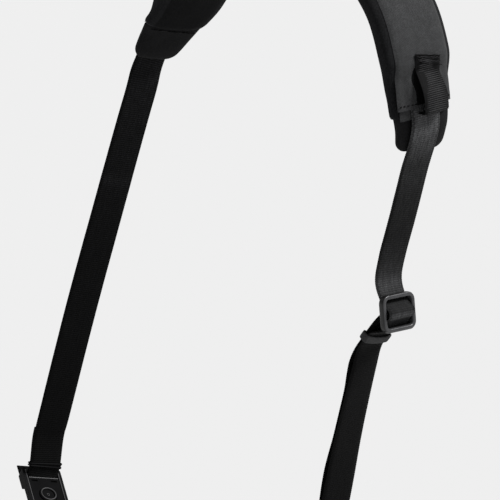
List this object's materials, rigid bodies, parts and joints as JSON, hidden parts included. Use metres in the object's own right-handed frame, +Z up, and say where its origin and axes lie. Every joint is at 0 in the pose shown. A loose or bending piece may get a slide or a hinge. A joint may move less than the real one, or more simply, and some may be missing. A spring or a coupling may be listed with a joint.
{
  "type": "camera neck strap",
  "caption": "Padded camera neck strap with webbing legs, a slide buckle, a keeper and quick-release end connectors, hanging as worn round a neck.",
  "frame": {"origin": "underside of the pad's crown, where the strap sits on the neck", "axes": "+Z up, the long hanging way; +X from the leg with no buckle to the leg with the buckle; +Y through the wearer, the shortest way"},
  "size_m": [0.3845, 0.1088, 0.5565],
  "materials": {
    "padding": "matt black padded cloth",
    "woven_cover": "dark grey woven cloth",
    "webbing": "black woven webbing",
    "ribbed_band": "dark ribbed band",
    "satin_metal": "dark satin metal",
    "moulded_plastic": "black moulded plastic"
  },
  "bodies": {
    "root": {"pad_body": "padding", "pad_face": "woven_cover", "left_hem_layer": "woven_cover", "right_hem_layer": "woven_cover", "left_tongue": "padding", "right_tongue": "padding", "loop_tab": "ribbed_band", "left_webbing": "webbing", "right_webbing": "webbing", "slide_buckle": "satin_metal", "keeper": "ribbed_band", "left_ring": "moulded_plastic", "right_ring": "moulded_plastic", "left_connector_frame": "moulded_plastic", "right_connector_frame": "moulded_plastic", "left_connector_plate": "moulded_plastic", "right_connector_plate": "moulded_plastic", "left_connector_disc": "moulded_plastic", "right_connector_disc": "moulded_plastic"}
  },
  "joints": []
}
